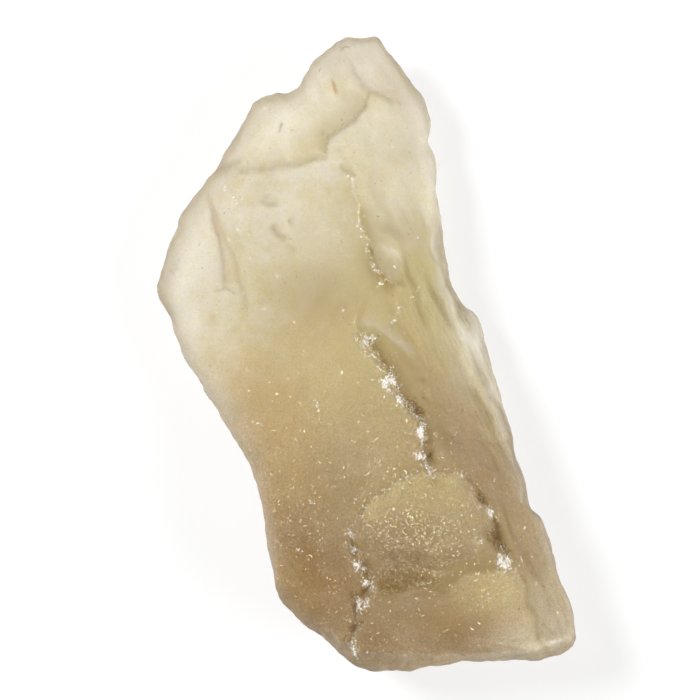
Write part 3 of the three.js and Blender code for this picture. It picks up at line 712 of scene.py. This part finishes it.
# Painted shade in pits, rim notches and the recess under the lump, in dark brown, partly solid.
CLEFTS = [
    (8, -8.8, 2, 1.3, -50, 1.2), (9.8, -16.2, 1.6, 0.8, -60, 1), (18.7, -23.7, 1.7, 0.7, -50, 1),
    (20.4, -30, 2.6, 1, -55, 1), (22.4, -31.4, 1.4, 0.8, -40, 1), (-2.3, -38.8, 1.5, 0.9, -60, 1),
    (-1.9, -31.6, 1.6, 0.5, -80, 0.8), (-1.2, -43.4, 1.6, 0.7, 60, 1), (-3.4, 50.2, 2.4, 0.8, 10, 0.45),
    (5.6, -36.5, 7, 1.9, 4, 0.85), (3.8, -35.6, 3.4, 2.2, 20, 0.8), (-0.4, -34.4, 1, 3, 4, 0.5),
    (-29.6, 23.6, 1.2, 0.8, 45, 0.35), (-32, 13.3, 1.4, 0.9, 60, 0.35),
]


def spot_weight(spots, x, y):
    weight = np.zeros(x.shape)
    for middle_x, middle_y, wide, tall, turn, strength in spots:
        u, v = turned(x - middle_x, y - middle_y, turn)
        weight = np.maximum(weight, strength * np.exp(-((u / wide) ** 2) - (v / tall) ** 2))
    return weight


def line_weight(lines, x, y):
    weight = np.zeros(x.shape)
    for line, width, strength in lines:
        across = distance_across(spline(line), x, y)
        weight = np.maximum(weight, strength * np.exp(-((across / width) ** 2)))
    return weight


def band_weight(bands, x, y):
    weight = np.zeros(x.shape)
    for line, side, width, strength in bands:
        curve = spline(line)
        across = distance_across(curve, x, y) * side
        start = smooth(across, -BAND_START, BAND_START)
        ends = fade_at_ends(curve, STEP_FADE / 2, x, y)
        weight = np.maximum(weight, strength * ends * start * np.exp(-((across / width) ** 2)))
    return weight


def dust_weight(x, y):
    return np.maximum(spot_weight(DUST_SPOTS, x, y), line_weight(DUST_LINES, x, y))


def surface_masks(points, upper):
    """How strong each tint, mark and kind of dust is at each point."""
    x, y = wobbled(points[:, 0], points[:, 1])
    masks = {name: spot_weight(spots, x, y) for name, spots in TINTS.items()}
    for name, bands in BANDS.items():
        masks[name] = np.maximum(masks[name], band_weight(bands, x, y) * upper)
    # Painted shade in the valleys between the flank's streaks, added to the dark tint.
    streaks = np.clip(-streak_relief(x, y) * STREAK_SHADE["gain"], 0, STREAK_SHADE["most"])
    masks["dark"] = np.maximum(masks["dark"], streaks * upper)
    for name, lines in (("dark_flecks", DARK_FLECK_LINES), ("mark", MARKS), ("beads", BEAD_LINES)):
        masks[name] = line_weight(lines, x, y) * upper
    for name, spots in (("rust", RUST_SPOTS), ("cleft", CLEFTS)):
        masks[name] = spot_weight(spots, x, y) * upper
    masks["speck"] = spot_weight(SPECKS, points[:, 0], points[:, 1]) * upper
    masks["dust"] = dust_weight(x, y) * upper
    masks["sugar"] = sugar_weight(x, y, upper)
    masks["cloudy"] = np.maximum(spot_weight(CLOUDY_SPOTS, x, y), line_weight(CLOUDY_LINES, x, y)) * upper
    flank = smooth(turned(x, y, FLOW["heading"])[1], *FLANK_START)
    masks["flank"] = flank * (1 - FLANK_TIP_LOSS * smooth(y, *FLANK_END)) * upper
    return masks


# Sockets of a colour mix node: its share, its two colours and its result.
MIX_INPUTS = (0, 6, 7)
MIX_RESULT = 2


class Nodes:
    """Short calls for building a node tree."""

    def __init__(self, material):
        material.use_nodes = True
        self.tree = material.node_tree
        self.tree.nodes.clear()

    def add(self, kind, **settings):
        node = self.tree.nodes.new(kind)
        for name, value in settings.items():
            setattr(node, name, value)
        return node

    def link(self, source, target):
        self.tree.links.new(source, target)

    def put(self, socket, value):
        """Links an output, or sets a plain value."""
        if isinstance(value, bpy.types.NodeSocket):
            self.link(value, socket)
        else:
            socket.default_value = value

    def math(self, operation, a, b, clamp=False):
        node = self.add("ShaderNodeMath", operation=operation, use_clamp=clamp)
        self.put(node.inputs[0], a)
        self.put(node.inputs[1], b)
        return node.outputs[0]

    def sum(self, a, b):
        return self.math("ADD", a, b)

    def product(self, a, b):
        return self.math("MULTIPLY", a, b)

    def most(self, a, b):
        return self.math("MAXIMUM", a, b)

    def ramp(self, value, name):
        node = self.add("ShaderNodeMapRange", interpolation_type="SMOOTHSTEP")
        for i, item in enumerate((value, *RAMPS[name])):
            self.put(node.inputs[i], item)
        return node.outputs[0]

    def mix(self, share, a, b, blend="MIX"):
        node = self.add("ShaderNodeMix", data_type="RGBA", blend_type=blend)
        for i, value in zip(MIX_INPUTS, (share, a, b)):
            self.put(node.inputs[i], value)
        return node.outputs[MIX_RESULT]

    def noise(self, where, name):
        size, detail, roughness = NOISES[name]
        node = self.add("ShaderNodeTexNoise")
        self.link(where, node.inputs["Vector"])
        node.inputs["Scale"].default_value = 1 / (size * MM)
        node.inputs["Detail"].default_value = detail
        node.inputs["Roughness"].default_value = roughness
        return node.outputs["Fac"]

    def streaks(self, where, name, length, heading):
        """Noise drawn out `length` times along a heading in the plane."""
        mapping = self.add("ShaderNodeMapping", vector_type="TEXTURE")
        self.link(where, mapping.inputs["Vector"])
        mapping.inputs["Rotation"].default_value = (0, 0, math.radians(heading))
        mapping.inputs["Scale"].default_value = (length, 1, 1)
        return self.noise(mapping.outputs[0], name)

    def bent(self, where, bend):
        """The place, moved to and fro by noise of a size, by up to about half the reach in millimetres."""
        node = self.add("ShaderNodeTexNoise")
        self.link(where, node.inputs["Vector"])
        node.inputs["Scale"].default_value = 1 / (bend["size"] * MM)
        node.inputs["Detail"].default_value = bend["detail"]
        shift = self.add("ShaderNodeVectorMath", operation="MULTIPLY_ADD")
        self.link(node.outputs["Color"], shift.inputs[0])
        shift.inputs[1].default_value = (bend["reach"] * MM,) * 3
        self.link(where, shift.inputs[2])
        return shift.outputs[0]

    def mask(self, name):
        return self.add("ShaderNodeAttribute", attribute_name=name).outputs["Fac"]


# Colours are linear.
GLASS_THIN = (0.91, 0.885, 0.81, 1)
GLASS_THICK = (0.73, 0.66, 0.385, 1)
GLASS_OLIVE = (0.83, 0.735, 0.41, 1)
GLASS_BROWN = (0.38, 0.22, 0.08, 1)
GLASS_AMBER = (0.76, 0.57, 0.28, 1)
GLASS_GREY = (0.58, 0.435, 0.3, 1)
# The colour of the painted shade.
PAINTED_SHADE_COLOUR = (0.33, 0.24, 0.08, 1)
SMOKE_AND_RIM_SHADE = (0.66, 0.6, 0.49, 1)
DUST_COLOUR = (0.9, 0.88, 0.84, 1)
DUST_SHADE = (0.55, 0.49, 0.38, 1)
CLEFT_COLOUR = (0.22, 0.14, 0.05, 1)
MARK_COLOUR = (0.27, 0.18, 0.045, 1)
RUST_COLOUR = (0.5, 0.22, 0.1, 1)
GLINT_COLOUR = (1.0, 0.88, 0.64, 1)
ABSORPTION_COLOUR = (0.68, 0.52, 0.02, 1)
ABSORPTION_DENSITY = 52.0
IOR = 1.46
SPECULAR_LEVEL = 0.3
CLEARNESS = 0.66
EDGE_CLEARNESS = 0.84
MILKINESS = 0.55
MILKY_REACH = 2.0 * MM
MILKY_SPREAD = (1.0, 0.8, 0.45)
SOLID_ROUGHNESS = 0.9
BUMP = {"strength": 0.5, "distance": 0.1 * MM}

# Tints in the order in which they lie, and the most that each covers.
TINT_LAYERS = [("grey", GLASS_GREY, 0.9), ("brown", GLASS_BROWN, 1.0), ("amber", GLASS_AMBER, 0.8),
               ("olive", GLASS_OLIVE, 0.85)]
LOWER_GREY = 0.52
MOST_PALE_AND_LIT = 0.8
MOST_SMOKE_AND_RIM_SHADE = 0.85

# Painted glints are long cells in bent space, in millimetres. Each kind of place changes their chance.
GLINTS = [
    {"cell": 0.22, "turn": (0.0, 0.3, 0.6), "length": 3.4},
    {"cell": 0.26, "turn": (0.0, -0.3, -0.8), "length": 3.2},
]
GLINT_BEND = {"size": 1.3, "reach": 1.5, "detail": 1.0}
GLINT_CHANCE = {"anywhere": 0.03, "sugar": 0.65, "dust": 0.3, "cleft": 0.45}
TICK_CHANCE = 0.012
TICK_STRENGTH = 0.5
BRUSH_LENGTH = 6.0
DUST_GAIN = 0.235
CLEFT_GROUND = 0.3
CLEFT_SOLIDITY = 0.7

# Noises in the glass: the size of their lumps in millimetres, detail and roughness.
NOISES = {
    "clouds": (8.0, 4.0, 0.65),
    "wisps": (2.2, 3.0, 0.7),
    "grain": (0.32, 3.0, 0.8),
    "brush": (0.6, 3.0, 0.65),
    "patches": (0.7, 4.0, 0.7),
    "frost": (2.5, 3.0, 0.5),
    "glint groups": (6.0, 2.0, 0.7),
    "dust groups": (2.0, 4.0, 0.6),
    "dust grains": (0.4, 5.0, 0.85),
    "speck grains": (0.5, 3.0, 0.7),
}

# Ramps: where the value that goes in starts and ends, then what comes out there, 0 and 1 if not stated.
RAMPS = {
    "lower half": (LOWER_HALF[0] * MM, LOWER_HALF[1] * MM),
    "cloud": (0.32, 0.62, 0.6, 1.0),
    "depth in clouds": (0.3, 0.7, 0.14, -0.14),
    "depth in wisps": (0.3, 0.7, 0.09, -0.09),
    "thin to thick": (0.12, 0.7),
    "pale edge": (0, 1, 0.8, 0.45),
    "dark in grain": (0.34, 0.62, 0.5, 1.2),
    "dark in brush": (0.34, 0.66, -0.5, 0.5),
    "mark in grain": (0.36, 0.6, 0.5, 1.3),
    "even tint": (0.3, 0.7, 0.9, 1.06),
    "grainy tint": (0.3, 0.7, 0.74, 1.2),
    "brushed tint": (0.3, 0.7, 0.86, 1.07),
    "patches": (0.34, 0.62),
    "rust": (0.2, 0.8, 0.0, 0.7),
    "cleft": (0.2, 0.9),
    "glint groups": (0.38, 0.62, 0.25, 1.0),
    "low glints": (0, 1, 0.2, 0.04),
    "glint size": (0, 1, 0.15, 0.42),
    "glint light": (0, 1, 0.1, 0.8),
    "dust groups": (0.36, 0.6, 0.35, 1.15),
    "dust grains": (0.65, 0.7),
    "least dust": (0.06, 0.2),
    "dust shade": (0.39, 0.58),
    "speck grains": (0.3, 0.7, -0.5, 0.2),
    "specks": (0.45, 0.65, 0.0, 0.8),
    "cloudy glass": (0, 1, 1.0, 0.4),
    "frost": (0.35, 0.65, 0.62, 0.78),
    "bump": (0, 1, 1.0, 2.2),
}


def glint_masks(n, where, glint, chance):
    """Painted glints as short bright dashes, one in each cell that chance picks, and dark ticks in a few
    others.
    """
    mapping = n.add("ShaderNodeMapping", vector_type="TEXTURE")
    n.link(where, mapping.inputs["Vector"])
    mapping.inputs["Rotation"].default_value = glint["turn"]
    mapping.inputs["Scale"].default_value = (glint["length"], 1, 1)
    cells = n.add("ShaderNodeTexVoronoi")
    n.link(mapping.outputs[0], cells.inputs["Vector"])
    cells.inputs["Scale"].default_value = 1 / (glint["cell"] * MM)
    draw = n.add("ShaderNodeSeparateColor")
    n.link(cells.outputs["Color"], draw.inputs[0])
    picked = n.math("LESS_THAN", draw.outputs[0], chance)
    inside = n.math("LESS_THAN", cells.outputs["Distance"], n.ramp(draw.outputs[1], "glint size"))
    bright = n.product(n.product(picked, inside), n.ramp(draw.outputs[2], "glint light"))
    ticks = n.product(n.math("GREATER_THAN", draw.outputs[0], 1 - TICK_CHANCE), inside)
    return bright, ticks


def glint_chance(n, where, low):
    """More painted glints lie in the lower half, rough parts, dust and beaded lines, and fewer in the clefts.
    """
    gathered = n.ramp(n.noise(where, "glint groups"), "glint groups")
    lower = n.product(low, n.ramp(n.mask("flank"), "low glints"))
    chance = n.product(n.sum(GLINT_CHANCE["anywhere"], lower), gathered)
    sugar = n.product(n.mask("sugar"), GLINT_CHANCE["sugar"])
    dust = n.product(n.mask("dust"), GLINT_CHANCE["dust"])
    chance = n.sum(n.sum(chance, n.sum(sugar, dust)), n.mask("beads"))
    return n.math("SUBTRACT", chance, n.product(n.mask("cleft"), GLINT_CHANCE["cleft"]))


def dust_cover(n, where):
    """Dust lies in grainy clusters: more grains pass where there is more of it. White specks join it."""
    amount = n.product(n.mask("dust"), n.ramp(n.noise(where, "dust groups"), "dust groups"))
    grains = n.sum(n.noise(where, "dust grains"), n.product(amount, DUST_GAIN))
    cover = n.product(n.ramp(grains, "dust grains"), n.ramp(amount, "least dust"))
    fleck = n.sum(n.mask("speck"), n.ramp(n.noise(where, "speck grains"), "speck grains"))
    return n.most(cover, n.ramp(fleck, "specks"))


def glass_tint(n, where, low, grain, brush):
    """The colour of the glass: thin and pale to thick and olive, with cloudy brown and grey parts, painted
    shade in its dark parts and along the rim, and painted light in some pale parts.
    """
    clouds = n.noise(where, "clouds")
    cloud = n.ramp(clouds, "cloud")
    thick = n.sum(n.mask("depth"), n.ramp(clouds, "depth in clouds"))
    thick = n.sum(thick, n.ramp(n.noise(where, "wisps"), "depth in wisps"))
    tint = n.mix(n.ramp(thick, "thin to thick"), GLASS_THIN, GLASS_THICK)
    tint = n.mix(n.product(low, LOWER_GREY), tint, GLASS_GREY)
    for mask, colour, most in TINT_LAYERS:
        tint = n.mix(n.product(n.product(n.mask(mask), cloud), most), tint, colour)
    edge = n.product(n.mask("edge"), n.ramp(low, "pale edge"))
    # Pale parts and cloudy glass: partly thin and milky glass, partly painted light.
    pale = n.product(n.most(n.mask("pale"), n.mask("cloudy")), MOST_PALE_AND_LIT)
    tint = n.mix(n.most(edge, pale), tint, GLASS_THIN)
    brushed = n.product(n.mask("flank"), n.ramp(brush, "dark in brush"))
    uneven = n.sum(n.ramp(grain, "dark in grain"), brushed)
    # Painted shade: the dark tint, made uneven by the grain and the flank's streaks.
    tint = n.mix(n.math("MULTIPLY", n.mask("dark"), uneven, clamp=True), tint, PAINTED_SHADE_COLOUR)
    # Smoky patches and the rim's painted shade.
    return n.mix(n.product(n.mask("smoke_and_rim_shade"), MOST_SMOKE_AND_RIM_SHADE), tint, SMOKE_AND_RIM_SHADE)


def marked_tint(n, tint, grain, patches, ticks):
    """The tint with dark flecks along some lines, dark ticks, rust spots and short dark marks."""
    dark_flecks = n.most(n.product(n.mask("dark_flecks"), patches), n.product(ticks, TICK_STRENGTH))
    tint = n.mix(dark_flecks, tint, CLEFT_COLOUR)
    tint = n.mix(n.ramp(n.mask("rust"), "rust"), tint, RUST_COLOUR)
    return n.mix(n.product(n.mask("mark"), n.ramp(grain, "mark in grain")), tint, MARK_COLOUR)


def grained_tint(n, tint, grain, brush, rough):
    """The tint made lighter and darker by the grain, coarsely on rough parts, and by streaks on the flank."""
    shade = n.mix(rough, n.ramp(grain, "even tint"), n.ramp(grain, "grainy tint"))
    tint = n.mix(1.0, tint, shade, "MULTIPLY")
    brushed = n.mix(1.0, tint, n.ramp(brush, "brushed tint"), "MULTIPLY")
    return n.mix(n.mask("flank"), tint, brushed)


def glass_material():
    material = bpy.data.materials.new("frosted_glass")
    n = Nodes(material)
    out = n.add("ShaderNodeOutputMaterial")
    surface = n.add("ShaderNodeBsdfPrincipled")
    volume = n.add("ShaderNodeVolumeAbsorption")
    n.link(surface.outputs[0], out.inputs["Surface"])
    n.link(volume.outputs[0], out.inputs["Volume"])
    volume.inputs["Color"].default_value = ABSORPTION_COLOUR
    volume.inputs["Density"].default_value = ABSORPTION_DENSITY
    surface.inputs["IOR"].default_value = IOR
    surface.inputs["Specular IOR Level"].default_value = SPECULAR_LEVEL

    where = n.add("ShaderNodeTexCoord").outputs["Object"]
    along = n.add("ShaderNodeSeparateXYZ")
    n.link(where, along.inputs[0])
    low = n.ramp(along.outputs["Y"], "lower half")
    rough = n.most(low, n.mask("sugar"))
    grain = n.noise(where, "grain")
    brush = n.streaks(where, "brush", BRUSH_LENGTH, FLOW["heading"])
    blotches = n.noise(where, "patches")
    patches = n.ramp(blotches, "patches")

    dust = dust_cover(n, where)
    # Painted glints: short bright golden dashes, in two layers of bent cells.
    bent = n.bent(where, GLINT_BEND)
    chance = glint_chance(n, where, low)
    glints, ticks = glint_masks(n, bent, GLINTS[0], chance)
    more_glints, more_ticks = glint_masks(n, bent, GLINTS[1], chance)
    glints = n.most(glints, more_glints)
    ticks = n.most(ticks, more_ticks)
    # The clefts' painted shade, broken up by patches and kept off the dust.
    cleft = n.ramp(n.product(n.mask("cleft"), n.sum(CLEFT_GROUND, patches)), "cleft")
    cleft = n.product(cleft, n.math("SUBTRACT", 1.0, dust))

    tint = glass_tint(n, where, low, grain, brush)
    tint = marked_tint(n, tint, grain, patches, ticks)
    tint = grained_tint(n, tint, grain, brush, rough)
    powder = n.mix(n.ramp(grain, "dust shade"), DUST_SHADE, DUST_COLOUR)
    # The painted glints are laid into the colour under the dust.
    colour = n.mix(dust, n.mix(glints, tint, GLINT_COLOUR), powder)
    n.link(n.mix(cleft, colour, CLEFT_COLOUR), surface.inputs["Base Color"])

    # Dust, the painted glints and the clefts' painted shade are made partly solid: they let less light
    # through and are rougher.
    solid = n.most(n.most(dust, glints), n.product(cleft, CLEFT_SOLIDITY))
    glassy = n.math("SUBTRACT", 1.0, solid)
    clear = n.most(n.product(n.mask("edge"), EDGE_CLEARNESS), CLEARNESS)
    # Cloudy glass, partly painted light, lets less light through.
    clear = n.product(clear, n.ramp(n.mask("cloudy"), "cloudy glass"))
    n.link(n.product(glassy, clear), surface.inputs["Transmission Weight"])
    n.link(n.product(glassy, MILKINESS), surface.inputs["Subsurface Weight"])
    surface.inputs["Subsurface Radius"].default_value = MILKY_SPREAD
    surface.inputs["Subsurface Scale"].default_value = MILKY_REACH
    frost = n.ramp(n.noise(where, "frost"), "frost")
    n.link(n.most(frost, n.product(solid, SOLID_ROUGHNESS)), surface.inputs["Roughness"])

    bump = n.add("ShaderNodeBump")
    bump.inputs["Strength"].default_value = BUMP["strength"]
    bump.inputs["Distance"].default_value = BUMP["distance"]
    n.link(n.product(blotches, n.ramp(rough, "bump")), bump.inputs["Height"])
    n.link(bump.outputs[0], surface.inputs["Normal"])
    return material


def placed(name, data):
    thing = bpy.data.objects.new(name, data)
    bpy.context.scene.collection.objects.link(thing)
    return thing


def build_lump():
    lump = placed("raw_desert_glass", lump_mesh())
    lump.data.materials.append(glass_material())
    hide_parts(NODE)
    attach(lump, "root")


# The floor and the lights, in metres and watts.
WHITE = (1, 1, 1, 1)
FLOOR_SIZE = 6.0
FLOOR_GAP = 0.3 * MM
FLOOR_COLOUR = (0.28, 0.28, 0.28, 1)
FLOOR_ROUGHNESS = 0.8
FLOOR_GLOW = 0.68
WORLD_LIGHT = 0.24
LIGHTS = {
    "key": {"place": (-0.62, 0.34, 0.66), "size": 0.36, "power": 9.8},
    "fill": {"place": (0.76, -0.22, 0.38), "size": 0.6, "power": 7.5},
}


def build_floor():
    mesh = bpy.data.meshes.new("floor")
    h = FLOOR_SIZE / 2
    corners = [(x, y, -FLOOR_GAP) for x, y in ((-h, -h), (h, -h), (h, h), (-h, h))]
    mesh.from_pydata(corners, [], [(0, 1, 2, 3)])
    floor = placed("floor", mesh)
    material = bpy.data.materials.new("pale_floor")
    n = Nodes(material)
    surface = n.add("ShaderNodeBsdfPrincipled")
    surface.inputs["Base Color"].default_value = FLOOR_COLOUR
    surface.inputs["Roughness"].default_value = FLOOR_ROUGHNESS
    surface.inputs["Emission Color"].default_value = WHITE
    surface.inputs["Emission Strength"].default_value = FLOOR_GLOW
    n.link(surface.outputs[0], n.add("ShaderNodeOutputMaterial").inputs["Surface"])
    mesh.materials.append(material)


def area_light(name, place, size, power):
    data = bpy.data.lights.new(name, "AREA")
    data.shape = "DISK"
    data.size = size
    data.energy = power
    light = placed(name, data)
    light.location = place
    light.rotation_mode = "QUATERNION"
    light.rotation_quaternion = (-Vector(place)).to_track_quat("-Z", "Y")


def build_lights():
    world = bpy.data.worlds.new("studio")
    world.use_nodes = True
    background = world.node_tree.nodes["Background"]
    background.inputs["Color"].default_value = WHITE
    background.inputs["Strength"].default_value = WORLD_LIGHT
    bpy.context.scene.world = world
    for name, light in LIGHTS.items():
        area_light(name, **light)


# The photograph's height in pixels, its scale, and the pixel at the middle of the lump.
PIXELS = 700
PIXELS_PER_MM = 6.1
LUMP_MIDDLE_PIXEL = (366.0, 353.5)
CAMERA_DISTANCE = 0.5
RIM_HEIGHT = 8 * MM
SENSOR = 36.0
CLIP = (0.01, 20)


def build_camera():
    data = bpy.data.cameras.new("camera")
    data.sensor_width = SENSOR
    view_height = PIXELS / PIXELS_PER_MM * MM
    data.lens = SENSOR * CAMERA_DISTANCE / view_height
    data.clip_start, data.clip_end = CLIP
    camera = placed("camera", data)
    x = (PIXELS / 2 - LUMP_MIDDLE_PIXEL[0]) / PIXELS_PER_MM * MM
    y = (LUMP_MIDDLE_PIXEL[1] - PIXELS / 2) / PIXELS_PER_MM * MM
    camera.location = (x, y, RIM_HEIGHT + CAMERA_DISTANCE)
    bpy.context.scene.camera = camera


build_lump()
build_floor()
build_lights()
build_camera()
bpy.context.scene.view_settings.view_transform = "Standard"
